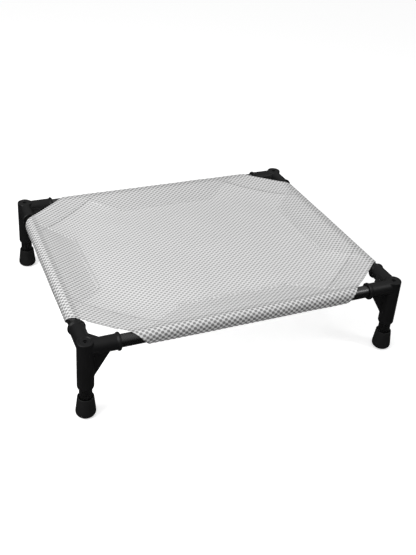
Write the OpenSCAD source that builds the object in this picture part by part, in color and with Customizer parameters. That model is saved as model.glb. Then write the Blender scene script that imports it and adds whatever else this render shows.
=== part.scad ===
// Raised pet cot: a woven sling stretched on four tube rails, which push into
// three-way corner fittings. Each fitting also holds a short leg with a rubber foot.
// +X is along the long side, +Y is towards the back and +Z is up. The origin is on the
// floor, under the middle of the sling.

/* [Frame] */
// Distance between leg axes along the long side
leg_pitch_x = 670; // [500:10:1000]
// Distance between leg axes along the short side
leg_pitch_y = 556; // [420:4:800]
// Height of the rails' axes above the floor
rail_z = 157; // [150:1:200]
// Outside diameter of the steel tube, for rails and legs
tube_d = 25.4; // [24:0.2:26]
// Wall thickness of the steel tube
tube_wall = 1.2; // [0.8:0.1:2]

/* [Corner fittings] */
// Outside diameter of the upright leg socket
leg_socket_d = 33; // [32:0.5:36]
// Outside diameter of the two arm sockets
arm_socket_d = 31; // [30:0.5:34]
// Diameter of the bead round each arm's mouth
bead_d = 36; // [34:0.5:40]
// Width of the bead
bead_w = 7; // [5:0.5:9]
// Distance from the leg axis to an arm's mouth
arm_reach = 66; // [56:1:80]
// Height of the leg socket's mouth above the floor
leg_socket_z = 65; // [58:1:72]
// Height of the hub's flat top above the rails' axes
hub_rise = 15.5; // [15:0.1:18]
// Radial clearance between a tube and its socket
socket_gap = 0.1; // [0.05:0.05:0.3]
// Thickness of the webs that brace the arms
web_t = 4; // [3:0.5:6]
// Distance from the leg axis to the upright web's far corner, under the arm
web_reach = 49; // [40:1:56]
// Height above the floor of the upright web's low corner
web_low_z = 88; // [80:1:104]
// Distance from the leg axis to the flat web's far corners, along each arm
flat_web_reach = 55; // [40:1:58]

/* [Bolts and inserts] */
// Shank diameter of the leg bolt
bolt_d = 5; // [4:1:6]
// Head diameter of the leg bolt
bolt_head_d = 8.5; // [8:0.5:10]
// Head height of the leg bolt
bolt_head_h = 5; // [4:0.5:6]
// Width across flats of the socket in the bolt's head
bolt_key_w = 4; // [3:0.5:5]
// Length of the threaded insert in the leg's top
insert_h = 18; // [14:1:24]

/* [Feet] */
// Height of the rubber foot
foot_h = 43.5; // [36:0.5:50]
// Widest diameter of the rubber foot
foot_d = 39.8; // [38:0.2:44]
// Diameter of the foot's upper rim
foot_rim_d = 32.6; // [31:0.2:35]
// Radius of the foot's rounded lower edge
foot_edge_r = 9; // [5:0.5:10]
// Thickness of the rubber under the tube's end
foot_sole = 9; // [6:0.5:14]

/* [Cover] */
// Thickness of the woven cloth
cloth_t = 1.8; // [1:0.1:2.4]
// Inside radius of the sleeve round a rail
sleeve_r = 14.2; // [13.6:0.1:16]
// Depth of the folded flap, from the rail's axis to its free edge
flap_depth = 78; // [60:1:100]
// Width of the flat, sewn strip at the flap's free edge
seam_w = 7; // [5:0.5:12]
// Corner cut, measured along the long rail from the rails' crossing
cut_x = 90; // [80:1:130]
// Corner cut, measured along the short rail from the rails' crossing
cut_y = 75; // [72:1:120]
// How far a sleeve's end slants inwards from the rail's top to its underside, long side
slant_x = 40; // [10:1:50]
// How far a sleeve's end slants inwards from the rail's top to its underside, short side
slant_y = 31; // [10:1:50]
// Length of the flap's free edge, long side
flap_edge_x = 240; // [160:5:280]
// Length of the flap's free edge, short side
flap_edge_y = 205; // [120:5:230]
// Width of the folded hem along each corner cut
hem_w = 57; // [30:1:62]
// Width of the sling's slope inside each corner cut, before it is level
corner_slope_w = 90; // [80:1:110]

/* [Hidden] */
$fn = 72;

half_x = leg_pitch_x / 2;
half_y = leg_pitch_y / 2;
tube_r = tube_d / 2;
tube_bore_r = tube_r - tube_wall;

hub_z = rail_z + hub_rise;
socket_r = tube_r + socket_gap;
arm_bottom = 20;                        // blind end of an arm's bore, from the leg axis
leg_top_z = rail_z - 22;                // upper end of a leg, inside its socket
end_gap = 1;                            // free space past each tube's end
dish_d = 25;
dish_h = 1;
recess_gap = 0.25;
recess_h = bolt_head_h + 2;
bolt_seat_z = hub_z - dish_h - recess_h;
bolt_tip_z = leg_top_z - insert_h;
bolt_gap = 0.3;
thread_gap = 0.05;
key_h = 2.5;
edge_r = 1.5;                           // rounding on the fitting's rims
chamfer = 2;

foot_taper_z = foot_edge_r + 1;
foot_gap = 0.05;
funnel_h = 3;
funnel_w = 1.8;

sleeve_gap = 0.5;                       // between the rail's top and the cloth
sleeve_z = rail_z + tube_r + sleeve_gap - sleeve_r;
mid_r = sleeve_r + cloth_t / 2;
flap_run = flap_depth - seam_w;
flap_angle = asin(mid_r / norm([flap_run, cloth_t / 2])) - atan2(cloth_t / 2, flap_run);
arc_steps = 36;
cut_length = norm([cut_x, cut_y]);
hem_inset = 19;                         // keeps the hem's ends clear of the rails and fittings
reach = 400;                            // longer than any piece of cloth, for cutting tools

cover_colour = "#cbcbcb";
tube_colour = "#161616";
plastic_colour = "#262627";
rubber_colour = "#1b1b1b";
bolt_colour = "#3a3a3c";
insert_colour = "#3c3c3c";

// Points of an arc, from angle a0 to a1, about [x, y]
function arc(x, y, r, a0, a1, steps = 6) =
    [for (i = [0 : steps]) let (a = a0 + (a1 - a0) * i / steps) [x + r * cos(a), y + r * sin(a)]];

// Places a child made for the front left corner, with its arms along +X and +Y,
// at the corner with the signs sx and sy
module at_corner(sx, sy) {
    translate([sx * half_x, sy * half_y, 0])
        mirror([sx > 0 ? 1 : 0, 0, 0])
            mirror([0, sy > 0 ? 1 : 0, 0])
                children();
}

// Lays a child that stands along +Z down along +X, at the height of the rails
module along_x() {
    translate([0, 0, rail_z]) rotate([0, 90, 0]) children();
}

// Lays a child that stands along +Z down along +Y, at the height of the rails
module along_y() {
    translate([0, 0, rail_z]) rotate([-90, 0, 0]) children();
}

module tube(length) {
    difference() {
        cylinder(r = tube_r, h = length);
        translate([0, 0, -1]) cylinder(r = tube_bore_r, h = length + 2);
    }
}

// ---- Frame ----

module rail_x(sy) {
    start = half_x - arm_bottom - end_gap;
    color(tube_colour) translate([-start, sy * half_y, 0]) along_x() tube(2 * start);
}

module rail_y(sx) {
    start = half_y - arm_bottom - end_gap;
    color(tube_colour) translate([sx * half_x, -start, 0]) along_y() tube(2 * start);
}

// One arm socket along +Z, from the leg axis to the mouth, with a round bead at the mouth
module arm_socket() {
    arm_r = arm_socket_d / 2;
    bead_r = bead_d / 2;
    bead_edge = (bead_w - 1) / 2;
    rotate_extrude()
        polygon(concat(
            [[0, 0], [arm_r, 0], [arm_r, arm_reach - bead_w]],
            arc(bead_r - bead_edge, arm_reach - bead_w + bead_edge, bead_edge, -60, 0),
            arc(bead_r - bead_edge, arm_reach - bead_edge, bead_edge, 0, 90),
            [[0, arm_reach]]
        ));
}

module leg_socket() {
    r = leg_socket_d / 2;
    rotate_extrude()
        polygon(concat(
            [[0, leg_socket_z], [r - chamfer, leg_socket_z], [r, leg_socket_z + 2 * chamfer]],
            arc(r - edge_r, hub_z - edge_r, edge_r, 0, 90),
            [[0, hub_z]]
        ));
}

// Upright web in the plane of the leg and the arm along +X
module upright_web() {
    translate([0, web_t / 2, 0])
        rotate([90, 0, 0])
            linear_extrude(web_t)
                polygon([
                    [0, web_low_z], [leg_socket_d / 2, web_low_z],
                    [web_reach, rail_z - arm_socket_d / 2], [web_reach, rail_z], [0, rail_z]
                ]);
}

module flat_web() {
    translate([0, 0, rail_z - web_t / 2])
        linear_extrude(web_t)
            polygon([[0, 0], [flat_web_reach, 0], [0, flat_web_reach]]);
}

module corner(sx, sy) {
    color(plastic_colour) at_corner(sx, sy) difference() {
        union() {
            leg_socket();
            along_x() arm_socket();
            along_y() arm_socket();
            upright_web();
            mirror([1, -1, 0]) upright_web();
            flat_web();
        }
        translate([arm_bottom, 0, 0]) along_x() cylinder(r = socket_r, h = arm_reach);
        translate([0, arm_bottom, 0]) along_y() cylinder(r = socket_r, h = arm_reach);
        cylinder(r = socket_r, h = leg_top_z + end_gap);
        cylinder(r = bolt_d / 2 + bolt_gap, h = hub_z + 1);
        translate([0, 0, bolt_seat_z]) cylinder(r = bolt_head_d / 2 + recess_gap, h = recess_h + dish_h + 1);
        translate([0, 0, hub_z - dish_h]) cylinder(r1 = dish_d / 2 - dish_h, r2 = dish_d / 2, h = dish_h);
    }
}

module leg(sx, sy) {
    color(tube_colour) at_corner(sx, sy)
        translate([0, 0, foot_sole]) tube(leg_top_z - foot_sole);
}

module foot(sx, sy) {
    rim_r = foot_rim_d / 2;
    wide_r = foot_d / 2;
    bore_r = tube_r + foot_gap;
    color(rubber_colour) at_corner(sx, sy)
        rotate_extrude()
            polygon(concat(
                [[0, 0]],
                arc(wide_r - foot_edge_r, foot_edge_r, foot_edge_r, -90, 0),
                [[wide_r, foot_taper_z], [rim_r, foot_h - 1], [rim_r - 1, foot_h]],
                [[bore_r + funnel_w, foot_h], [bore_r, foot_h - funnel_h], [bore_r, foot_sole], [0, foot_sole]]
            ));
}

module bolt(sx, sy) {
    color(bolt_colour) at_corner(sx, sy) difference() {
        union() {
            translate([0, 0, bolt_tip_z]) cylinder(r = bolt_d / 2, h = bolt_seat_z - bolt_tip_z);
            translate([0, 0, bolt_seat_z]) cylinder(r = bolt_head_d / 2, h = bolt_head_h);
        }
        translate([0, 0, bolt_seat_z + bolt_head_h - key_h])
            cylinder(r = bolt_key_w / sqrt(3), h = key_h + 1, $fn = 6);
    }
}

module insert(sx, sy) {
    color(insert_colour) at_corner(sx, sy) difference() {
        translate([0, 0, leg_top_z - insert_h]) cylinder(r = tube_bore_r - thread_gap, h = insert_h);
        cylinder(r = bolt_d / 2 + thread_gap, h = hub_z);
    }
}

// ---- Cover ----

// The corners of an octagon inside the rails' crossings. inset is its distance in from
// the rails' axes, and cut_inset its distance in from the corner cuts.
function octagon(inset, cut_inset) =
    let (
        x = half_x - cut_x + (inset * cut_x - cut_inset * cut_length) / cut_y,
        y = half_y - cut_y + (inset * cut_y - cut_inset * cut_length) / cut_x,
        side_x = half_x - inset,
        side_y = half_y - inset
    )
    [[x, -side_y], [side_x, -y], [side_x, y], [x, side_y],
     [-x, side_y], [-side_x, y], [-side_x, -y], [-x, -side_y]];

function lift(points, z) = [for (p = points) [p.x, p.y, z]];

// The sling between the rails: level in the middle, at the height of the rails' sewn
// flaps, and rising to the rails' tops and the corner cuts
module sling_panel() {
    rim = octagon(0, 0);
    floor = octagon(flap_run, corner_slope_w);
    rim_z = sleeve_z + sleeve_r;
    ring = [for (i = [0 : 7]) [i, (i + 1) % 8]];
    color(cover_colour) polyhedron(
        points = concat(
            lift(rim, rim_z + cloth_t), lift(floor, sleeve_z + cloth_t),
            lift(rim, rim_z), lift(floor, sleeve_z)
        ),
        faces = concat(
            [[for (i = [15 : -1 : 8]) i], [for (i = [24 : 31]) i]],
            [for (e = ring) [e[0], e[0] + 8, e[1] + 8, e[1]]],
            [for (e = ring) [e[0] + 16, e[1] + 16, e[1] + 24, e[0] + 24]],
            [for (e = ring) [e[0], e[1], e[1] + 16, e[0] + 16]]
        )
    );
}

// Cross-section of a sleeve: +X points in under the sling, +Y points up, and the centre
// of the part round the rail is at [0, 0]. The cloth runs from the rail's top round the
// outside, then up as a flap to the sewn strip against the sling's underside.
module sleeve_section() {
    outer_r = sleeve_r + cloth_t;
    mitre = cloth_t / 2 * tan(flap_angle / 2);
    polygon(concat(
        arc(0, 0, outer_r, 90, 270 + flap_angle, arc_steps),
        [[flap_run + mitre, -cloth_t], [flap_depth, -cloth_t]],
        [[flap_depth, 0], [flap_run - mitre, 0]],
        arc(0, 0, sleeve_r, 270 + flap_angle, 90, arc_steps)
    ));
}

// A sleeve along Y on the left side of the frame. half is half its length along the
// rail's top, its ends slant inwards by slant on the way round to the underside, and
// edge is the length of the flap's free edge.
module sleeve(half, slant, edge) {
    low_half = half - slant;
    flap_start = mid_r * sin(flap_angle);
    top = sleeve_r + cloth_t + 1;
    translate([0, 0, sleeve_z]) difference() {
        rotate([90, 0, 0]) linear_extrude(2 * half, center = true) sleeve_section();
        for (side = [-1, 1]) {
            translate([flap_start - reach, 0, 0])
                rotate([90, 0, 90])
                    linear_extrude(reach)
                        polygon([
                            [side * half, top], [side * reach, top],
                            [side * reach, -top], [side * low_half, -top]
                        ]);
            linear_extrude(reach, center = true)
                polygon([
                    [flap_start, side * low_half], [flap_start, side * reach],
                    [flap_depth + 1, side * reach], [flap_depth + 1, side * edge / 2]
                ]);
        }
    }
}

module sleeve_x(sy) {
    color(cover_colour) translate([0, sy * half_y, 0])
        rotate(-sy * 90) sleeve(half_x - cut_x, slant_x, flap_edge_x);
}

module sleeve_y(sx) {
    color(cover_colour) translate([sx * half_x, 0, 0])
        rotate(sx > 0 ? 180 : 0) sleeve(half_y - cut_y, slant_y, flap_edge_y);
}

// The strip folded under the sling along a corner cut, for the front left corner. It lies
// against the sloping underside, and its ends stay clear of the rails.
module hem(sx, sy) {
    slope_inset = flap_run * hem_w / corner_slope_w;
    inner_x = cut_x + (hem_w * cut_length - slope_inset * cut_x) / cut_y;
    inner_y = cut_y + (hem_w * cut_length - slope_inset * cut_y) / cut_x;
    plan = [
        [cut_x * (1 - hem_inset / cut_y), hem_inset], [inner_x, slope_inset],
        [slope_inset, inner_y], [hem_inset, cut_y * (1 - hem_inset / cut_x)]
    ];
    inner_z = sleeve_z + sleeve_r * (1 - hem_w / corner_slope_w);
    top_z = [sleeve_z + sleeve_r, inner_z, inner_z, sleeve_z + sleeve_r];
    color(cover_colour) at_corner(sx, sy) polyhedron(
        points = [
            for (drop = [0, cloth_t]) for (i = [0 : 3])
                [plan[i].x, plan[i].y, top_z[i] - drop]
        ],
        faces = [
            [3, 2, 1, 0], [4, 5, 6, 7],
            [0, 1, 5, 4], [1, 2, 6, 5], [2, 3, 7, 6], [3, 0, 4, 7]
        ]
    );
}

sling_panel();
sleeve_x(-1);  // sleeve_front
sleeve_x(1);  // sleeve_back
sleeve_y(-1);  // sleeve_left
sleeve_y(1);  // sleeve_right
hem(-1, -1);  // hem_front_left
hem(1, -1);  // hem_front_right
hem(-1, 1);  // hem_back_left
hem(1, 1);  // hem_back_right
rail_x(-1);  // rail_front
rail_x(1);  // rail_back
rail_y(-1);  // rail_left
rail_y(1);  // rail_right
corner(-1, -1);  // corner_front_left
corner(1, -1);  // corner_front_right
corner(-1, 1);  // corner_back_left
corner(1, 1);  // corner_back_right
leg(-1, -1);  // leg_front_left
leg(1, -1);  // leg_front_right
leg(-1, 1);  // leg_back_left
leg(1, 1);  // leg_back_right
foot(-1, -1);  // foot_front_left
foot(1, -1);  // foot_front_right
foot(-1, 1);  // foot_back_left
foot(1, 1);  // foot_back_right
bolt(-1, -1);  // bolt_front_left
bolt(1, -1);  // bolt_front_right
bolt(-1, 1);  // bolt_back_left
bolt(1, 1);  // bolt_back_right
insert(-1, -1);  // insert_front_left
insert(1, -1);  // insert_front_right
insert(-1, 1);  // insert_back_left
insert(1, 1);  // insert_back_right
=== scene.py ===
import math

import bpy
from mathutils import Matrix, Vector, noise


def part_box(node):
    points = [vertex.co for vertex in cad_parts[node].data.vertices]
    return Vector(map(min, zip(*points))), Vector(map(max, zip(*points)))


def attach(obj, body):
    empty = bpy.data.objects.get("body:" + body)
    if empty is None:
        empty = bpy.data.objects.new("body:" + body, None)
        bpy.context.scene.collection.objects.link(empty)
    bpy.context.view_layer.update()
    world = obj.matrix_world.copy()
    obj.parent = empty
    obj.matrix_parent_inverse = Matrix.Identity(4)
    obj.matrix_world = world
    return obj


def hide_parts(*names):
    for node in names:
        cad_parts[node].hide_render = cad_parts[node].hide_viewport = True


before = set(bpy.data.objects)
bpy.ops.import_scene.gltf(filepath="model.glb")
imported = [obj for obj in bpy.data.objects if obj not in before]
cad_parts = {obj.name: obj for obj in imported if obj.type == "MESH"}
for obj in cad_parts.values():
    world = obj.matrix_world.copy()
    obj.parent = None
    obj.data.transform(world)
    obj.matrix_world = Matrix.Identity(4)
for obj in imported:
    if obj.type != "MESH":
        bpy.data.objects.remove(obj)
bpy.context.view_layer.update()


# ---- Studio ----
# A pale floor that runs out of sight, with a slight glow of its own, and a white room
# that gives less light near the horizon. One wide panel lights the bed from the left, and
# a tall narrow one in front on the right draws a line of gloss along the tubes.

FLOOR_SIZE = 40.0
FLOOR_GLOW = 0.5
FLOOR_PAINT = (0.9, 0.9, 0.9)
FLOOR_ROUGHNESS = 0.9
ROOM_LIGHT = 0.76
ROOM_WHITE = (1.0, 1.0, 1.0, 1.0)
HORIZON_HEIGHT = 0.1
HORIZON_SHARE = 0.05
BED_MIDDLE = (0, 0, 0.15)
KEY_PLACE = (-1.7, -0.5, 1.4)
KEY_SIZE = 1.2
KEY_POWER = 29
EDGE_PLACE = (1.15, -1.0, 1.42)
EDGE_AIM = (0.26, -0.28, 0.157)
EDGE_WIDTH = 0.22
EDGE_HEIGHT = 1.1
EDGE_POWER = 5


def plain_material(name, colour, roughness):
    """A material of one colour and roughness, and its shader."""
    made = bpy.data.materials.new(name)
    made.use_nodes = True
    shader = made.node_tree.nodes["Principled BSDF"]
    shader.inputs["Base Color"].default_value = (*colour, 1.0)
    shader.inputs["Roughness"].default_value = roughness
    return made, shader


bpy.context.scene.view_settings.view_transform = "Standard"
bpy.ops.object.select_all(action="DESELECT")
bpy.ops.mesh.primitive_plane_add(size=FLOOR_SIZE, location=(0, 0, 0))
floor = bpy.context.object
floor.name = "studio_floor"
floor_paint, floor_shader = plain_material("studio_floor_paint", FLOOR_PAINT, FLOOR_ROUGHNESS)
floor_shader.inputs["Emission Color"].default_value = ROOM_WHITE
floor_shader.inputs["Emission Strength"].default_value = FLOOR_GLOW
floor.data.materials.append(floor_paint)
floor.visible_glossy = False

room = bpy.data.worlds.new("studio_room")
room.use_nodes = True
sky = room.node_tree
look = sky.nodes.new("ShaderNodeTexCoord")
split = sky.nodes.new("ShaderNodeSeparateXYZ")
level = sky.nodes.new("ShaderNodeMapRange")
level.inputs["From Min"].default_value = HORIZON_HEIGHT
level.inputs["From Max"].default_value = 1.0
level.inputs["To Min"].default_value = HORIZON_SHARE * ROOM_LIGHT
level.inputs["To Max"].default_value = ROOM_LIGHT
seen = sky.nodes.new("ShaderNodeLightPath")
backdrop = sky.nodes.new("ShaderNodeMix")
backdrop.inputs["B"].default_value = 1.0
sky.links.new(look.outputs["Generated"], split.inputs[0])
sky.links.new(split.outputs["Z"], level.inputs["Value"])
sky.links.new(seen.outputs["Is Camera Ray"], backdrop.inputs["Factor"])
sky.links.new(level.outputs["Result"], backdrop.inputs["A"])
sky.links.new(backdrop.outputs["Result"], sky.nodes["Background"].inputs["Strength"])
sky.nodes["Background"].inputs["Color"].default_value = ROOM_WHITE
bpy.context.scene.world = room


def soft_panel(name, place, width, height, power, aim):
    """A rectangular soft light at place, facing aim."""
    light = bpy.data.lights.new(name, "AREA")
    light.shape = "RECTANGLE"
    light.size = width
    light.size_y = height
    light.energy = power
    holder = bpy.data.objects.new(name, light)
    bpy.context.scene.collection.objects.link(holder)
    holder.location = place
    holder.rotation_euler = (Vector(aim) - Vector(place)).to_track_quat("-Z", "Y").to_euler()


soft_panel("key_panel", KEY_PLACE, KEY_SIZE, KEY_SIZE, KEY_POWER, BED_MIDDLE)
soft_panel("edge_panel", EDGE_PLACE, EDGE_WIDTH, EDGE_HEIGHT, EDGE_POWER, EDGE_AIM)


# ---- Camera ----
# A 50 mm lens from the front left and above, looking down at about 28 degrees and rolled
# by almost 4.

CAMERA_PLACE = (-0.619, -1.372, 1.057)
CAMERA_AZIMUTH = -23.89
CAMERA_ELEVATION = 27.59
CAMERA_ROLL = 3.75
SENSOR_WIDTH = 36.0
FOCAL_LENGTH = 50.18
SHIFT_X = 0.0216
SHIFT_Y = -0.1396
FAR_CLIP = 100.0

lens = bpy.data.cameras.new("camera")
camera = bpy.data.objects.new("camera", lens)
bpy.context.scene.collection.objects.link(camera)
bpy.context.scene.camera = camera
lens.sensor_width = SENSOR_WIDTH
lens.lens = FOCAL_LENGTH
lens.shift_x = SHIFT_X
lens.shift_y = SHIFT_Y
lens.clip_end = FAR_CLIP
turn = Matrix.Rotation(math.radians(CAMERA_AZIMUTH), 4, "Z")
tilt = Matrix.Rotation(math.radians(90.0 - CAMERA_ELEVATION), 4, "X")
roll = Matrix.Rotation(math.radians(CAMERA_ROLL), 4, "Z")
camera.matrix_world = Matrix.Translation(CAMERA_PLACE) @ turn @ tilt @ roll


# ---- Cover: the woven cloth ----
# One cut of coarse plain-woven mesh of coated light grey yarn, stretched over the four
# rails. Its sides are folded round the rails and sewn back under as flaps, so the
# tension draws the middle down to the height of the rails' axes.

CLOTH_THICK = 0.0010
CLOTH_RELIEF = 0.00045
CELL_RISE, CORNER_RISE, RELIEF_DROP = 0.95, 0.5, 0.05
FACES_PER_YARN = 2
YARN_COUNT_X = 113
YARN_COUNT_Y = 113
FLAP_RUN = 0.071
CORNER_SLOPE = 0.090
CUT_X = 0.090
CUT_Y = 0.075
SLING_SAG = 0.0035
RIPPLE = 0.0011
RIPPLES_PER_METRE = 9
RIPPLE_GROWTH = 4
RIPPLE_SEED = 0.3
RAIL_ROUND = 0.004
CORNER_ROUND = 0.005
SAG_ROUND = 0.006
CREASE = math.radians(60)

sleeve_low, sleeve_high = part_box("sleeve_front")
panel_low, panel_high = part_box("sling_panel")
half_x = panel_high.x
half_y = panel_high.y
cloth_bulk = CLOTH_THICK + 2 * CLOTH_RELIEF
wrap_r = (sleeve_high.z - sleeve_low.z - cloth_bulk) / 2
seam_z = (sleeve_high.z + sleeve_low.z) / 2
yarn_x = 2 * half_x / YARN_COUNT_X
yarn_y = 2 * half_y / YARN_COUNT_Y
lean = math.asin(wrap_r / FLAP_RUN)
cut_length = math.hypot(CUT_X, CUT_Y)


def soft_max(a, b, width):
    """The larger of a and b, rounded over where they cross."""
    near = max(width - abs(a - b), 0.0)
    return max(a, b) + near * near / (4 * width)


def rail_slope(inset):
    """Height above the seams of cloth that runs straight off a rail's top to a seam."""
    if inset < wrap_r * math.sin(lean):
        return math.sqrt(wrap_r ** 2 - inset ** 2)
    return (wrap_r - inset * math.sin(lean)) / math.cos(lean)


def cut_inset(x, y):
    """Distance inside the nearest corner cut."""
    return ((half_x - abs(x)) * CUT_Y + (half_y - abs(y)) * CUT_X - CUT_X * CUT_Y) / cut_length


def sling_height(x, y):
    """Height of the sling's middle surface above the seams."""
    side = soft_max(rail_slope(half_x - abs(x)), rail_slope(half_y - abs(y)), RAIL_ROUND)
    corner = wrap_r * (1 - cut_inset(x, y) / CORNER_SLOPE)
    belly = (1 - (x / half_x) ** 2) * (1 - (y / half_y) ** 2)
    level = cloth_bulk / 2 - SLING_SAG * belly
    uneven = noise.noise(Vector((x * RIPPLES_PER_METRE, y * RIPPLES_PER_METRE, RIPPLE_SEED)))
    ripple = RIPPLE * uneven * min(1.0, belly * RIPPLE_GROWTH)
    return soft_max(soft_max(side, corner, CORNER_ROUND), level, SAG_ROUND) + ripple


def weave_relief(u, v):
    """Height of the yarns: raised and sunk cells by turns, joined at their corners."""
    across = math.pi * u / yarn_x
    along = math.pi * v / yarn_y
    cells = math.cos(across) * math.cos(along)
    corners = (math.sin(across) * math.sin(along)) ** 2
    return CLOTH_RELIEF * (CELL_RISE * cells + CORNER_RISE * corners - RELIEF_DROP)


def woven_sheet(name, low, high, cuts, place, shade_at):
    """A sheet of the cloth, from cloth coordinates low to high with what lies beyond each
    cut removed. place(u, v) gives a point and its outward direction, and shade_at(u, v) the
    painted shade there: how much the yarn is darkened where the cloth is double, and how
    much the gaps and yarn are darkened as shade."""
    size = Vector(high) - Vector(low)
    middle = (Vector(high) + Vector(low)) / 2
    bpy.ops.object.select_all(action="DESELECT")
    bpy.ops.mesh.primitive_grid_add(
        x_subdivisions=round(size.x / yarn_x * FACES_PER_YARN),
        y_subdivisions=round(size.y / yarn_y * FACES_PER_YARN), size=1
    )
    sheet = bpy.context.object
    sheet.name = name
    sheet.data.name = name
    sheet.data.transform(Matrix.Translation((*middle, 0)) @ Matrix.Diagonal((*size, 1, 1)))
    bpy.ops.object.mode_set(mode="EDIT")
    for point, outward in cuts:
        bpy.ops.mesh.select_all(action="SELECT")
        bpy.ops.mesh.bisect(plane_co=(*point, 0), plane_no=(*outward, 0), clear_outer=True, threshold=1e-6)
    bpy.ops.object.mode_set(mode="OBJECT")
    mesh = sheet.data
    while mesh.uv_layers:
        mesh.uv_layers.remove(mesh.uv_layers[0])
    cloth_map = mesh.uv_layers.new(name="cloth")
    for loop in mesh.loops:
        flat = mesh.vertices[loop.vertex_index].co
        cloth_map.data[loop.index].uv = (flat.x, flat.y)
    # painted shade, read by the material: one value darkens the yarn where the cloth is double, the other
    # darkens the gaps and yarn as shade
    doubled_shade = mesh.attributes.new("doubled_shade", "FLOAT", "POINT")
    painted_shade = mesh.attributes.new("painted_shade", "FLOAT", "POINT")
    for vertex in mesh.vertices:
        u, v = vertex.co.x, vertex.co.y
        doubled_shade.data[vertex.index].value, painted_shade.data[vertex.index].value = shade_at(u, v)
        point, outward = place(u, v)
        vertex.co = Vector(point) + Vector(outward) * weave_relief(u, v)
    thick = sheet.modifiers.new("cloth_thickness", "SOLIDIFY")
    thick.thickness = CLOTH_THICK
    thick.offset = 0
    bpy.ops.object.modifier_apply(modifier=thick.name)
    bpy.ops.object.mode_set(mode="EDIT")
    bpy.ops.mesh.select_all(action="SELECT")
    bpy.ops.mesh.normals_make_consistent(inside=False)
    bpy.ops.object.mode_set(mode="OBJECT")
    bpy.ops.object.shade_smooth_by_angle(angle=CREASE)
    sheet.data.materials.append(woven_mesh)
    return sheet


def cut_edge(sx, sy, inset=0.0):
    """A point on a corner cut, moved in by inset, and the direction out past it."""
    outward = Vector((sx * CUT_Y, sy * CUT_X)) / cut_length
    return Vector((sx * (half_x - CUT_X), sy * half_y)) - outward * inset, outward


CORNERS = [(-1, -1), (1, -1), (-1, 1), (1, 1)]


def join(tree, kind, *links, **settings):
    """Adds a shader node, sets it up, and feeds each of its inputs from a socket or value."""
    made = tree.nodes.new(kind)
    for key, value in settings.items():
        setattr(made, key, value)
    for index, link in links:
        if hasattr(link, "is_output"):
            tree.links.new(link, made.inputs[index])
        else:
            made.inputs[index].default_value = link
    return made


def sums(tree, operation, a, b=0.0):
    """One step of arithmetic on sockets or values."""
    return join(tree, "ShaderNodeMath", (0, a), (1, b), operation=operation).outputs[0]


def ramp(tree, value, low, high, start, end, kind="LINEAR"):
    """What value is when low to high is stretched over start to end."""
    ends = ((1, low), (2, high), (3, start), (4, end))
    return join(tree, "ShaderNodeMapRange", (0, value), *ends, interpolation_type=kind).outputs[0]


def speckle(tree, place, scale, detail):
    """Noise at a place."""
    made = join(tree, "ShaderNodeTexNoise", ("Vector", place), ("Scale", scale), ("Detail", detail))
    return made.outputs[0]


def dimmed(tree, colour, tone):
    """A colour times a tone."""
    return join(tree, "ShaderNodeVectorMath", (0, colour), ("Scale", tone), operation="SCALE").outputs[0]


def fine_bump(tree, shader, height, strength, depth):
    """Gives a shader a bump too fine to model."""
    bump = join(tree, "ShaderNodeBump", ("Strength", strength), ("Distance", depth), ("Height", height))
    tree.links.new(bump.outputs[0], shader.inputs["Normal"])


YARN_COLOUR = (0.86, 0.86, 0.86)
YARN_ROUGHNESS = 0.62
YARN_SHINE = 0.3
THREADS_PER_YARN = 6.0
GAP_STARTS, GAP_FULL = 0.3, -0.5
GAP_SHRINKS_AT_CORNERS = 0.2
GAP_GROWS_IN_SHADE = 0.30
GAP_SHADE_TONE, GAP_SHADE_DROP = 0.40, 0.30
DOUBLED_SHADE_DROP = 0.075
SHADED_DROP = 0.53
GRAIN_SCALE, PATCH_SCALE = 900.0, 14.0
GRAIN_TONES = (0.2, 0.8, 0.94, 1.05)
PATCH_TONES = (0.3, 0.7, 0.985, 1.015)
THREAD_TONE, THREAD_HEIGHT = 0.02, 0.3


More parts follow.
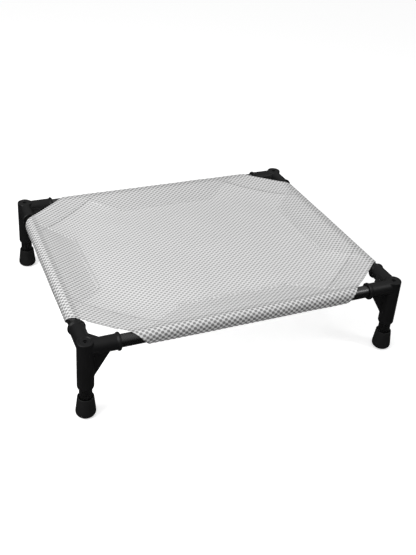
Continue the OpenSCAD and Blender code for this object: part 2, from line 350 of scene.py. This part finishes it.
def weave_material():
    """Coated yarn, raised and sunk by turns. The sunk cells let through what is behind, and are painted
    grey as that shade seen through the open weave; the sheet's shade values paint gaps and yarn darker
    still.
    """
    made, shader = plain_material("woven_mesh", (0.6, 0.6, 0.6), YARN_ROUGHNESS)
    tree = made.node_tree
    cloth_map = join(tree, "ShaderNodeUVMap", uv_map="cloth").outputs[0]
    parts = join(tree, "ShaderNodeSeparateXYZ", (0, cloth_map)).outputs
    across = sums(tree, "MULTIPLY", parts[0], math.pi / yarn_x)
    along = sums(tree, "MULTIPLY", parts[1], math.pi / yarn_y)
    painted_shade = join(tree, "ShaderNodeAttribute", attribute_name="painted_shade").outputs["Fac"]
    doubled_shade = join(tree, "ShaderNodeAttribute", attribute_name="doubled_shade").outputs["Fac"]

    # where the gaps are
    cells = sums(tree, "MULTIPLY", sums(tree, "COSINE", across), sums(tree, "COSINE", along))
    corners = sums(tree, "MULTIPLY", sums(tree, "SINE", across), sums(tree, "SINE", along))
    corners = sums(tree, "MULTIPLY", corners, corners)
    height = sums(tree, "ADD", cells, sums(tree, "MULTIPLY", corners, GAP_SHRINKS_AT_CORNERS))
    # painted shade: the gaps grow where the cloth is painted as shaded
    height = sums(tree, "SUBTRACT", height, sums(tree, "MULTIPLY", painted_shade, GAP_GROWS_IN_SHADE))
    gap = ramp(tree, height, GAP_STARTS, GAP_FULL, 0.0, 1.0, "SMOOTHSTEP")

    # the yarn: grain, slow patches, and painted shade where the cloth is double or turned under
    threads = sums(tree, "SINE", sums(tree, "MULTIPLY", across, THREADS_PER_YARN))
    grain = speckle(tree, cloth_map, GRAIN_SCALE, 2.0)
    patches = speckle(tree, cloth_map, PATCH_SCALE, 3.0)
    tone = ramp(tree, grain, *GRAIN_TONES)
    tone = sums(tree, "MULTIPLY", tone, ramp(tree, patches, *PATCH_TONES))
    # painted shade: the yarn is darker where the cloth is double, for the light that no longer comes up
    # through it
    under = sums(tree, "SUBTRACT", 1.0, sums(tree, "MULTIPLY", doubled_shade, DOUBLED_SHADE_DROP))
    tone = sums(tree, "MULTIPLY", tone, under)
    tone = sums(tree, "ADD", tone, sums(tree, "MULTIPLY", threads, THREAD_TONE))
    # painted shade: the yarn darkens with the square of the painted shade value, most on the sleeves'
    # undersides
    shaded = sums(tree, "MULTIPLY", sums(tree, "MULTIPLY", painted_shade, painted_shade), SHADED_DROP)
    tone = sums(tree, "MULTIPLY", tone, sums(tree, "SUBTRACT", 1.0, shaded))
    yarn_colour = dimmed(tree, YARN_COLOUR, tone)

    # painted shade: the gaps' grey stands for the shade seen through the open weave, and darkens further
    # with the painted shade value
    gap_shade = sums(tree, "SUBTRACT", GAP_SHADE_TONE, sums(tree, "MULTIPLY", painted_shade, GAP_SHADE_DROP))
    behind = dimmed(tree, (1.0, 1.0, 1.0), gap_shade)
    mixed = join(tree, "ShaderNodeMix", (0, gap), (6, yarn_colour), (7, behind), data_type="RGBA")
    tree.links.new(mixed.outputs[2], shader.inputs["Base Color"])
    raised = sums(tree, "ADD", sums(tree, "MULTIPLY", threads, THREAD_HEIGHT), grain)
    fine_bump(tree, shader, raised, strength=0.5, depth=0.0002)
    shader.inputs["Specular IOR Level"].default_value = YARN_SHINE
    return made


woven_mesh = weave_material()


# ---- Cover: the sling ----
# The part of the cloth that the pet lies on, from rail to rail. Where a flap or a hem is
# sewn under it the cloth is double, so less light comes up through its gaps: its yarn and
# gaps are painted darker there as shade, and the gaps beside the rails are painted darker
# too.

FLAP_DEPTH = 0.078
HEM_WIDTH = 0.057
SLANT_X, FLAP_EDGE_X = 0.040, 0.240
SLANT_Y, FLAP_EDGE_Y = 0.031, 0.205
BORDER_WIDTH = 0.004
RAIL_SHADE = 0.010
RAIL_SHADE_STEP = 0.008
HEM_SHARE = 0.8
DOUBLED_SHARE, BORDER_SHARE = 0.7, 1.5
RAIL_GAP_SHADE, DOUBLED_GAP_SHADE = 0.3, 0.12


def over(value, edge, softness=0.003):
    """0 below edge and 1 above it, with a short step between."""
    return min(max((value - edge) / softness + 0.5, 0.0), 1.0)


def flap_end(inset, half, slant, edge):
    """Half the length of a flap at a distance in from its rail."""
    return half - slant - (half - slant - edge / 2) * inset / FLAP_DEPTH


def sling_shade(u, v):
    """The sling's painted shade: more over flaps and hems and beside rails, with darker lines along their
    borders.
    """
    inset_x, inset_y = half_x - abs(u), half_y - abs(v)
    long_flap = min(flap_end(inset_y, half_x - CUT_X, SLANT_X, FLAP_EDGE_X) - abs(u), FLAP_DEPTH - inset_y)
    short_flap = min(flap_end(inset_x, half_y - CUT_Y, SLANT_Y, FLAP_EDGE_Y) - abs(v), FLAP_DEPTH - inset_x)
    hem = HEM_WIDTH - cut_inset(u, v)
    doubled_shade = max(over(long_flap, 0), over(short_flap, 0), over(hem, 0) * HEM_SHARE)
    # painted shade: the gaps beside the rails are painted darker
    rail = 1 - over(min(inset_x, inset_y), RAIL_SHADE, RAIL_SHADE_STEP)
    # painted shade: darker lines along the borders of flaps and hems
    border = max(1 - abs(depth) / BORDER_WIDTH for depth in (long_flap, short_flap, hem))
    tone = doubled_shade * DOUBLED_SHARE + max(border, 0.0) * BORDER_SHARE
    return tone, RAIL_GAP_SHADE * rail + DOUBLED_GAP_SHADE * doubled_shade


def sling_place(u, v):
    """A point of the sling and its outward direction."""
    return (u, v, seam_z + sling_height(u, v)), (0, 0, 1)


sling = woven_sheet(
    "cover_sling", (-half_x, -half_y), (half_x, half_y), [cut_edge(sx, sy) for sx, sy in CORNERS],
    sling_place, sling_shade
)
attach(sling, "root")
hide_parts("sling_panel")


# ---- Cover: the sleeves ----
# Each side of the cloth goes over its rail, round the outside and back under, and is sewn
# to the sling's underside. The slanted ends follow the corner cuts.

SLEEVE_CLEAR = 1.02
LOOSENESS = 0.0006
LOOSE_ALONG = 14
LOOSE_ROUND = 20
LOOSE_SEED = 3.1
FLAP_SHADE = (0.3, 0.25)
SHADE_STARTS = 0.02
SHADE_RUN = 0.45
SHADE_TOP = 0.3

wrap_length = wrap_r * (math.pi + lean)
flap_line = wrap_r / math.tan(lean)
sleeve_depth = wrap_length + flap_line + FLAP_DEPTH - FLAP_RUN


def sleeve_section(depth):
    """Where the cloth is after that much cloth from the rail's top: inset from the rail's
    axis and height above the seams, and the outward direction there."""
    if depth < wrap_length:
        turn_now = math.pi / 2 + depth / wrap_r
        outward = (math.cos(turn_now), math.sin(turn_now))
        return (wrap_r * outward[0], wrap_r * outward[1]), outward
    along = depth - wrap_length
    outward = (math.sin(lean), -math.cos(lean))
    rise = min(along, flap_line) * math.sin(lean)
    inset = wrap_r * math.sin(lean) + min(along, flap_line) * math.cos(lean) + max(along - flap_line, 0)
    height = -wrap_r * math.cos(lean) + rise
    low = -cloth_bulk / 2
    return (inset, min(height, low) if along < flap_line else low), outward


def woven_sleeve(where, side, sign, half, slant, edge):
    """The cloth that goes round one rail. side is the axis across that rail, 0 for x and 1
    for y, and sign says on which side of the middle it lies, -1 or 1. half is half the
    sleeve's length, which loses slant at each end under the rail, and edge is the length of
    the flap's free edge."""
    yarn_along, yarn_across = (yarn_y, yarn_x) if side == 0 else (yarn_x, yarn_y)
    rail_at = (half_x, half_y)[side]

    def spread(along, across):
        return (across, along) if side == 0 else (along, across)

    def place(u, v):
        along, across = (v, u) if side == 0 else (u, v)
        depth = abs(across) - rail_at
        (inset, height), (out_in, out_up) = sleeve_section(depth)
        at = spread(along, sign * (rail_at - inset))
        out = spread(0.0, -sign * out_in)
        if depth > wrap_length:
            height = min(height, sling_height(*at) - cloth_bulk * SLEEVE_CLEAR)
        spot = Vector((along * LOOSE_ALONG, depth * LOOSE_ROUND, side + sign * LOOSE_SEED))
        loose = LOOSENESS * noise.noise(spot)
        point = Vector((*at, seam_z + height)) + Vector((*out, out_up)) * loose
        return point, (*out, out_up)

    # painted shade: the sleeve's gaps and yarn are painted darker from the rail's top round to its
    # underside, and the flaps under the sling get a fixed painted shade
    def shade_at(u, v):
        depth = abs(u if side == 0 else v) - rail_at
        if depth > wrap_length:
            return FLAP_SHADE
        turned_under = min(max((depth / wrap_length - SHADE_STARTS) / SHADE_RUN, 0.0), 1.0)
        return 0.0, SHADE_TOP + (1 - SHADE_TOP) * turned_under ** 2 * (3 - 2 * turned_under)

    steps = math.ceil(sleeve_depth / yarn_across * 2) / 2
    length = math.ceil(2 * half / yarn_along / 2) * 2 + 1
    reach = length * yarn_along / 2
    near, far = sorted((sign * rail_at, sign * (rail_at + steps * yarn_across)))
    under = wrap_r * math.pi
    cuts = []
    for end in (-1, 1):
        for (a0, d0), (a1, d1) in (
            ((half, 0.0), (half - slant, under)),
            ((half - slant, under), (edge / 2, sleeve_depth)),
        ):
            normal = Vector((d1 - d0, a0 - a1)).normalized()
            at = spread(end * a0, sign * (rail_at + d0))
            cuts.append((at, spread(end * normal.x, sign * normal.y)))
    cuts.append((spread(0.0, sign * (rail_at + sleeve_depth)), spread(0.0, sign)))
    sleeve = woven_sheet(
        "cover_sleeve_" + where, spread(-reach, near), spread(reach, far), cuts, place, shade_at
    )
    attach(sleeve, "root")
    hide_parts("sleeve_" + where)


SIDES = (
    ("front", 1, -1, half_x - CUT_X, SLANT_X, FLAP_EDGE_X),
    ("back", 1, 1, half_x - CUT_X, SLANT_X, FLAP_EDGE_X),
    ("left", 0, -1, half_y - CUT_Y, SLANT_Y, FLAP_EDGE_Y),
    ("right", 0, 1, half_y - CUT_Y, SLANT_Y, FLAP_EDGE_Y),
)
for flap in SIDES:
    woven_sleeve(*flap)


# ---- Cover: the corner hems ----
# Along each corner cut the cloth is folded back under itself and sewn down, so the free
# edge between two rails is a double fold. The strip lies against the sling's underside.

HEM_CLEAR = 0.019
FOLD_WIDTH = 0.006
FOLD_DROP, HEM_DROP = 0.60, 1.02
HEM_SHADE = (0.3, 0.2)
yarn = (yarn_x, yarn_y)


def corner_name(sx, sy):
    """The name of the corner on these sides of the middle, such as front_left."""
    return ("front", "back")[sy > 0] + "_" + ("left", "right")[sx > 0]


def woven_hem(sx, sy):
    """The hem at one corner. Its outline is measured in from the rails' axes."""
    rise_in = FLAP_RUN * HEM_WIDTH / CORNER_SLOPE
    insets = [
        (CUT_X * (1 - HEM_CLEAR / CUT_Y), HEM_CLEAR),
        (CUT_X + (HEM_WIDTH * cut_length - rise_in * CUT_X) / CUT_Y, rise_in),
        (rise_in, CUT_Y + (HEM_WIDTH * cut_length - rise_in * CUT_Y) / CUT_X),
        (HEM_CLEAR, CUT_Y * (1 - HEM_CLEAR / CUT_X)),
    ]
    outline = [Vector((sx * (half_x - a), sy * (half_y - b))) for a, b in insets]
    middle = sum(outline, Vector((0.0, 0.0))) / len(outline)
    cuts, area = [], 0.0
    for here, after in zip(outline, outline[1:] + outline[:1]):
        outward = Vector((after.y - here.y, here.x - after.x)).normalized()
        if outward.dot(here - middle) < 0:
            outward = -outward
        cuts.append((here, outward))
        area += (here.x * after.y - after.x * here.y) / 2
    low = [math.floor(min(p[i] for p in outline) / yarn[i]) * yarn[i] for i in (0, 1)]
    high = [math.ceil(max(p[i] for p in outline) / yarn[i]) * yarn[i] for i in (0, 1)]

    def place(u, v):
        folded = min(max(cut_inset(u, v) / FOLD_WIDTH, 0.0), 1.0)
        drop = cloth_bulk * (FOLD_DROP + (HEM_DROP - FOLD_DROP) * folded)
        return (u, v, seam_z + sling_height(u, v) - drop), (0, 0, -1)

    # painted shade: the hem lies under the sling and is painted as shaded
    def shade_at(u, v):
        return HEM_SHADE

    name = corner_name(sx, sy)
    hem = woven_sheet("cover_hem_" + name, low, high, cuts, place, shade_at)
    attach(hem, "root")
    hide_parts("hem_" + name)


for sx, sy in CORNERS:
    woven_hem(sx, sy)


# ---- Seams ----
# Rows of polyester thread sew the flaps' free edges and slanted ends, and the hems, to the
# sling. Each stitch is a short raised loop, seen on the top and again underneath.

STITCH_PITCH = 0.0092
STITCH_LENGTH = 0.0054
THREAD_R = 0.0010
SEAM_INSET = 0.0745
END_INSET = 0.0030
RAIL_CLEAR = 0.014
HEM_SEAM = 0.0545
THREAD_LIGHT = 0.94
HEM_THREAD_SHADE = 0.42
THREAD_ROUGHNESS = 0.55
TWIST_SCALE, DIRT_SCALE = 900.0, 60.0
ABOVE, BELOW = 0.55, -1.55


def thread_material(name, tone):
    """Two-ply thread: fine twist across it, and a little dirt along the row."""
    made, shader = plain_material(name, (tone, tone, tone), THREAD_ROUGHNESS)
    tree = made.node_tree
    place = join(tree, "ShaderNodeTexCoord").outputs["Object"]
    twist = join(tree, "ShaderNodeTexWave", ("Vector", place), ("Scale", TWIST_SCALE), ("Distortion", 2.0))
    dirt = speckle(tree, place, DIRT_SCALE, 2.0)
    worn = ramp(tree, dirt, 0.3, 0.7, tone * 0.88, tone * 1.06)
    tree.links.new(worn, shader.inputs["Base Color"])
    fine_bump(tree, shader, twist.outputs[1], strength=0.5, depth=0.0001)
    return made


thread_light = thread_material("thread_light", THREAD_LIGHT)
# painted shade: the hems' thread is dark grey to stand for the shadows and holes along those stitches; the
# flaps' thread is light
thread_shaded = thread_material("thread_shaded", HEM_THREAD_SHADE)


def sewn(name, rows, thread):
    """Stitches along rows of (start, end) in plan, on both faces of the double cloth."""
    bpy.ops.object.select_all(action="DESELECT")
    bpy.ops.mesh.primitive_uv_sphere_add(segments=6, ring_count=4, radius=1)
    stitches = bpy.context.object
    stitches.name = stitches.data.name = name
    loop = [v.co.copy() for v in stitches.data.vertices]
    loop_faces = [tuple(f.vertices) for f in stitches.data.polygons]
    points, faces = [], []
    for start, end in rows:
        start, end = Vector(start), Vector(end)
        count = max(int((end - start).length / STITCH_PITCH), 1)
        along = (end - start).normalized()
        across = Vector((-along.y, along.x))
        for i in range(count):
            at = start.lerp(end, (i + 0.5) / count)
            ahead = at + along * STITCH_LENGTH / 2
            behind = at - along * STITCH_LENGTH / 2
            slope = (sling_height(*ahead) - sling_height(*behind)) / STITCH_LENGTH
            for level in (ABOVE * cloth_bulk, BELOW * cloth_bulk):
                base = len(points)
                middle = seam_z + sling_height(*at) + level
                for p in loop:
                    flat = at + along * p.z * STITCH_LENGTH / 2 + across * p.x * THREAD_R
                    high = middle + p.z * slope * STITCH_LENGTH / 2 + p.y * THREAD_R
                    points.append((flat.x, flat.y, high))
                faces += [tuple(base + k for k in face) for face in loop_faces]
    stitches.data.clear_geometry()
    stitches.data.from_pydata(points, [], faces)
    stitches.data.update()
    bpy.ops.object.mode_set(mode="EDIT")
    bpy.ops.mesh.select_all(action="SELECT")
    bpy.ops.mesh.normals_make_consistent(inside=False)
    bpy.ops.object.mode_set(mode="OBJECT")
    bpy.ops.object.shade_smooth()
    stitches.data.materials.append(thread)
    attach(stitches, "root")


def flap_rows(side, sign, half, slant, edge):
    """The free edge of one flap and its two slanted ends, in plan."""
    rail_at = (half_x, half_y)[side]

    def at(along, inset):
        across = sign * (rail_at - inset)
        return (across, along) if side == 0 else (along, across)

    reach = edge / 2 - END_INSET
    rows = [(at(-reach, SEAM_INSET), at(reach, SEAM_INSET))]
    start = half - slant - END_INSET
    for end in (-1, 1):
        rows.append((at(end * start, RAIL_CLEAR), at(end * reach, SEAM_INSET)))
    return rows


sewn("seam_flaps", [row for flap in SIDES for row in flap_rows(*flap[1:])], thread_light)
hem_rows = []
for sx, sy in CORNERS:
    far_x = (HEM_SEAM * cut_length + CUT_X * CUT_Y - RAIL_CLEAR * CUT_X) / CUT_Y
    far_y = (HEM_SEAM * cut_length + CUT_X * CUT_Y - RAIL_CLEAR * CUT_Y) / CUT_X
    start = (sx * (half_x - far_x), sy * (half_y - RAIL_CLEAR))
    end = (sx * (half_x - RAIL_CLEAR), sy * (half_y - far_y))
    hem_rows.append((start, end))
sewn("seam_hems", hem_rows, thread_shaded)


# ---- Corner fittings ----
# One moulding of filled black plastic at each corner: an upright socket for the leg, an
# arm with a beaded mouth for each of two rails, and webs that brace them. Soft fillets
# run where they meet, and a shallow dish on top holds the leg's bolt.

LEG_SOCKET_R = 0.0165
ARM_SOCKET_R = 0.0155
BEAD_WIDTH = 0.007
HUB_RISE = 0.0155
HUB_EDGE = 0.0015
MOUTH_CHAMFER = 0.002
WEB_THICK = 0.004
WEB_REACH = 0.049
WEB_LOW = 0.088
FLAT_WEB_REACH = 0.055
DISH_R = 0.0125
DISH_DEPTH = 0.001
RECESS_R = 0.0045
RECESS_DEPTH = 0.007
BOLT_HOLE_R = 0.0028
SOCKET_GAP = 0.0001
ARM_BLIND = 0.020
LEG_BLIND = 0.021
FILLET_PASSES = 9
FITTING_VOXEL = 0.0008
FITTING_KEEP = 0.42
PLASTIC_BLACK = (0.005, 0.005, 0.0053)
FITTING_CREASE = math.radians(38)
OVERSHOOT = 0.005
BEAD_SLACK = 0.001
MOTTLE_SCALE = 35.0
EDGE_STARTS, EDGE_FULL = 0.51, 0.58

fitting_low, fitting_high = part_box("corner_front_left")
leg_low, leg_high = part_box("leg_front_left")
rail_low, rail_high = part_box("rail_front")
leg_x = (leg_low.x + leg_high.x) / 2
leg_y = (leg_low.y + leg_high.y) / 2
rail_z = (rail_low.z + rail_high.z) / 2
tube_r = (rail_high.z - rail_low.z) / 2
arm_mouth = fitting_high.x - leg_x
bead_r = leg_y - fitting_low.y
hub_top = rail_z + HUB_RISE


def edit(piece):
    """Selects only this piece and opens it in edit mode, with all of it selected."""
    bpy.ops.object.select_all(action="DESELECT")
    piece.select_set(True)
    bpy.context.view_layer.objects.active = piece
    bpy.ops.object.mode_set(mode="EDIT")
    bpy.ops.mesh.select_all(action="SELECT")


def turned(name, profile, steps=72):
    """A solid turned about Z: a ring at each (radius, height) in turn, its ends closed."""
    radius, height = profile[0]
    bpy.ops.object.select_all(action="DESELECT")
    bpy.ops.mesh.primitive_circle_add(vertices=steps, radius=radius, fill_type="NGON")
    solid = bpy.context.object
    solid.name = solid.data.name = name
    edit(solid)
    bpy.ops.transform.translate(value=(0, 0, height))
    for wide, high in profile[1:]:
        bpy.ops.mesh.extrude_region_move(TRANSFORM_OT_translate={"value": (0, 0, high - height)})
        bpy.ops.transform.resize(value=(wide / radius, wide / radius, 1), center_override=(0, 0, 0))
        radius, height = wide, high
    bpy.ops.mesh.select_all(action="SELECT")
    bpy.ops.mesh.normals_make_consistent(inside=False)
    bpy.ops.object.mode_set(mode="OBJECT")
    return solid


def bend_points(radius, height, bend, start, end, steps=5):
    """Points of a rounded edge about (radius, height), from one angle in degrees to another."""
    angles = [math.radians(start + (end - start) * i / steps) for i in range(steps + 1)]
    return [(radius + bend * math.cos(a), height + bend * math.sin(a)) for a in angles]


def plate(name, outline, thick, turn):
    """A flat web: its outline in a plane, given its thickness, then turned into place."""
    bpy.ops.object.select_all(action="DESELECT")
    bpy.ops.mesh.primitive_circle_add(vertices=len(outline), radius=1, fill_type="NGON")
    web = bpy.context.object
    web.name = web.data.name = name
    for vertex, (x, y) in zip(web.data.vertices, outline):
        vertex.co = (x, y, -thick / 2)
    edit(web)
    bpy.ops.mesh.extrude_region_move(TRANSFORM_OT_translate={"value": (0, 0, thick)})
    bpy.ops.mesh.select_all(action="SELECT")
    bpy.ops.mesh.normals_make_consistent(inside=False)
    bpy.ops.object.mode_set(mode="OBJECT")
    web.data.transform(turn)
    return web


def finish_modifier(piece, modifier):
    """Applies a modifier to its piece."""
    bpy.ops.object.select_all(action="DESELECT")
    piece.select_set(True)
    bpy.context.view_layer.objects.active = piece
    bpy.ops.object.modifier_apply(modifier=modifier.name)


def bore(piece, profile, turn):
    """Cuts a turned hole out of a piece."""
    cutter = turned("bore", profile, steps=64)
    cutter.data.transform(turn)
    cut = piece.modifiers.new("bore", "BOOLEAN")
    cut.object = cutter
    cut.operation = "DIFFERENCE"
    cut.solver = "EXACT"
    finish_modifier(piece, cut)
    bpy.data.objects.remove(cutter)


def grained(name, colour, roughness, grain, depth, mottle=0.12, wear=0.0, shine=0.3, metal=0.0):
    """Moulded or coated black: fine grain, faint mottling, and a rubbed look on edges."""
    made, shader = plain_material(name, colour, roughness)
    shader.inputs["Specular IOR Level"].default_value = shine
    shader.inputs["Metallic"].default_value = metal
    tree = made.node_tree
    place = join(tree, "ShaderNodeTexCoord").outputs["Object"]
    fine = speckle(tree, place, grain, 3.0)
    broad = speckle(tree, place, MOTTLE_SCALE, 4.0)
    tone = ramp(tree, broad, 0.3, 0.7, 1 - mottle, 1 + mottle)
    if wear:
        edge = join(tree, "ShaderNodeNewGeometry").outputs["Pointiness"]
        rubbed = ramp(tree, edge, EDGE_STARTS, EDGE_FULL, 0.0, wear)
        tone = sums(tree, "ADD", tone, sums(tree, "MULTIPLY", rubbed, fine))
    tree.links.new(dimmed(tree, colour, tone), shader.inputs["Base Color"])
    gloss = ramp(tree, fine, 0.25, 0.75, roughness - 0.05, roughness + 0.06)
    tree.links.new(gloss, shader.inputs["Roughness"])
    fine_bump(tree, shader, fine, strength=0.6, depth=depth)
    return made


to_x = Matrix.Translation((0, 0, rail_z)) @ Matrix.Rotation(math.radians(90), 4, "Y")
to_y = Matrix.Translation((0, 0, rail_z)) @ Matrix.Rotation(math.radians(-90), 4, "X")
upright = Matrix.Identity(4)
bead_edge = (BEAD_WIDTH - BEAD_SLACK) / 2
arm_profile = (
    [(ARM_SOCKET_R, 0.0), (ARM_SOCKET_R, arm_mouth - BEAD_WIDTH)]
    + bend_points(bead_r - bead_edge, arm_mouth - BEAD_WIDTH + bead_edge, bead_edge, -60, 0)
    + bend_points(bead_r - bead_edge, arm_mouth - bead_edge, bead_edge, 0, 90)
)
leg_socket_profile = (
    [(LEG_SOCKET_R - MOUTH_CHAMFER, fitting_low.z), (LEG_SOCKET_R, fitting_low.z + 2 * MOUTH_CHAMFER)]
    + bend_points(LEG_SOCKET_R - HUB_EDGE, hub_top - HUB_EDGE, HUB_EDGE, 0, 90)
)
web_outline = [
    (0.0, WEB_LOW), (LEG_SOCKET_R, WEB_LOW),
    (WEB_REACH, rail_z - ARM_SOCKET_R), (WEB_REACH, rail_z), (0.0, rail_z)
]
stand = Matrix.Rotation(math.radians(90), 4, "X")
moulding = [
    turned("leg_socket", leg_socket_profile), turned("arm_x", arm_profile), turned("arm_y", arm_profile),
    plate("web_x", web_outline, WEB_THICK, stand),
    plate("web_y", web_outline, WEB_THICK, Matrix.Rotation(math.radians(90), 4, "Z") @ stand),
    plate(
        "flat_web", [(0.0, 0.0), (FLAT_WEB_REACH, 0.0), (0.0, FLAT_WEB_REACH)], WEB_THICK,
        Matrix.Translation((0, 0, rail_z))
    ),
]
moulding[1].data.transform(to_x)
moulding[2].data.transform(to_y)
bpy.ops.object.select_all(action="DESELECT")
for part in moulding:
    part.select_set(True)
fitting = moulding[0]
bpy.context.view_layer.objects.active = fitting
bpy.ops.object.join()
blend_skin = fitting.modifiers.new("moulded_skin", "REMESH")
blend_skin.mode = "VOXEL"
blend_skin.voxel_size = FITTING_VOXEL
finish_modifier(fitting, blend_skin)
fillets = fitting.modifiers.new("fillets", "SMOOTH")
fillets.factor = 0.5
fillets.iterations = FILLET_PASSES
finish_modifier(fitting, fillets)
lighter = fitting.modifiers.new("lighter", "DECIMATE")
lighter.ratio = FITTING_KEEP
finish_modifier(fitting, lighter)

socket_r = tube_r + SOCKET_GAP
bore(fitting, [(socket_r, ARM_BLIND), (socket_r, arm_mouth + OVERSHOOT)], to_x)
bore(fitting, [(socket_r, ARM_BLIND), (socket_r, arm_mouth + OVERSHOOT)], to_y)
bore(fitting, [(socket_r, fitting_low.z - OVERSHOOT), (socket_r, rail_z - LEG_BLIND)], upright)
dish_floor = hub_top - DISH_DEPTH
dish = [(DISH_R - DISH_DEPTH, dish_floor), (DISH_R + 2 * DISH_DEPTH, hub_top + 2 * DISH_DEPTH)]
bore(fitting, dish, upright)
bore(fitting, [(RECESS_R, dish_floor - RECESS_DEPTH), (RECESS_R, hub_top + OVERSHOOT)], upright)
bore(fitting, [(BOLT_HOLE_R, rail_z - LEG_BLIND - OVERSHOOT), (BOLT_HOLE_R, hub_top)], upright)
corner_plastic = grained(
    "corner_plastic", PLASTIC_BLACK, roughness=0.42, grain=1400.0, depth=0.00004, wear=0.9, shine=0.26
)
fitting.data.materials.append(corner_plastic)

for sx, sy in CORNERS:
    name = corner_name(sx, sy)
    copy = fitting.copy()
    copy.data = fitting.data.copy()
    copy.name = copy.data.name = "fitting_" + name
    bpy.context.scene.collection.objects.link(copy)
    facing = Matrix.Diagonal((-sx, -sy, 1, 1))
    copy.data.transform(Matrix.Translation((sx * -leg_x, sy * -leg_y, 0)) @ facing)
    edit(copy)
    bpy.ops.mesh.remove_doubles(threshold=1e-6)
    bpy.ops.mesh.normals_make_consistent(inside=False)
    bpy.ops.object.mode_set(mode="OBJECT")
    bpy.ops.object.shade_smooth_by_angle(angle=FITTING_CREASE)
    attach(copy, "root")
    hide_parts("corner_" + name)
bpy.data.objects.remove(fitting)


# ---- Legs and rails ----
# Round steel tube with a glossy black powder coat, cut square. The rails push into the
# fittings' arms, and a leg pushes up into each upright socket.

COAT_BLACK = (0.0018, 0.0018, 0.0019)

tube_coat = grained(
    "powder_coat", COAT_BLACK, roughness=0.27, grain=520.0, depth=0.00004, mottle=0.06, shine=0.9
)
for sx, sy in CORNERS:
    name = corner_name(sx, sy)
    leg = bpy.data.objects["leg_" + name]
    for slot in leg.material_slots:
        slot.material = tube_coat
for side in ("front", "back", "left", "right"):
    for slot in bpy.data.objects["rail_" + side].material_slots:
        slot.material = tube_coat


# ---- Feet ----
# Moulded black rubber, pushed over the ends of the legs: a funnelled rim, a slow taper
# outwards and a rounded lower edge that meets the floor.

RUBBER_GAP = 0.00005
FUNNEL_W = 0.0018
FUNNEL_H = 0.003
FOOT_EDGE_R = 0.009
FOOT_SOLE = 0.009
FOOT_RIM_R = 0.0163
RIM_ROUND = 0.0009
SOLE_FLAT_R = 0.004
TAPER = ((0.0003, 0.004), (0.0010, 0.010))
FUNNEL_DIP = 0.0002
RUBBER_BLACK = (0.0055, 0.0055, 0.0057)
FOOT_CREASE = math.radians(32)

foot_low, foot_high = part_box("foot_front_left")
foot_wide = (foot_high.x - foot_low.x) / 2
foot_top = foot_high.z
foot_bore = tube_r + RUBBER_GAP
foot_profile = (
    [(SOLE_FLAT_R, 0.0)]
    + bend_points(foot_wide - FOOT_EDGE_R, FOOT_EDGE_R, FOOT_EDGE_R, -90, 0, 9)
    + [(foot_wide - inward, FOOT_EDGE_R + up) for inward, up in TAPER]
    + bend_points(FOOT_RIM_R - RIM_ROUND, foot_top - RIM_ROUND, RIM_ROUND, 0, 90, 4)
    + [(foot_bore + FUNNEL_W, foot_top - FUNNEL_DIP), (foot_bore, foot_top - FUNNEL_H)]
    + [(foot_bore, FOOT_SOLE)]
)
foot_rubber = grained("foot_rubber", RUBBER_BLACK, roughness=0.58, grain=900.0, depth=0.00005, wear=0.6)
foot = turned("foot", foot_profile, steps=80)
foot.data.materials.append(foot_rubber)
for sx, sy in CORNERS:
    name = corner_name(sx, sy)
    copy = foot.copy()
    copy.data = foot.data.copy()
    copy.name = copy.data.name = "rubber_foot_" + name
    bpy.context.scene.collection.objects.link(copy)
    copy.data.transform(Matrix.Translation((sx * -leg_x, sy * -leg_y, 0)))
    bpy.ops.object.select_all(action="DESELECT")
    copy.select_set(True)
    bpy.context.view_layer.objects.active = copy
    bpy.ops.object.shade_smooth_by_angle(angle=FOOT_CREASE)
    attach(copy, "root")
    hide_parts("foot_" + name)
bpy.data.objects.remove(foot)


# ---- Bolts and inserts ----
# A blackened steel socket head bolt goes down through each fitting's hub into a threaded
# plastic plug, pressed into the top of the leg.

BOLT_BLACK = (0.03, 0.03, 0.032)
INSERT_GREY = (0.045, 0.045, 0.045)

bolt_black = grained(
    "bolt_black", BOLT_BLACK, roughness=0.34, grain=1800.0, depth=0.00002, mottle=0.2, metal=0.8
)
insert_plastic = grained("insert_plastic", INSERT_GREY, roughness=0.5, grain=1200.0, depth=0.00003)
for sx, sy in CORNERS:
    name = corner_name(sx, sy)
    for slot in bpy.data.objects["bolt_" + name].material_slots:
        slot.material = bolt_black
    for slot in bpy.data.objects["insert_" + name].material_slots:
        slot.material = insert_plastic
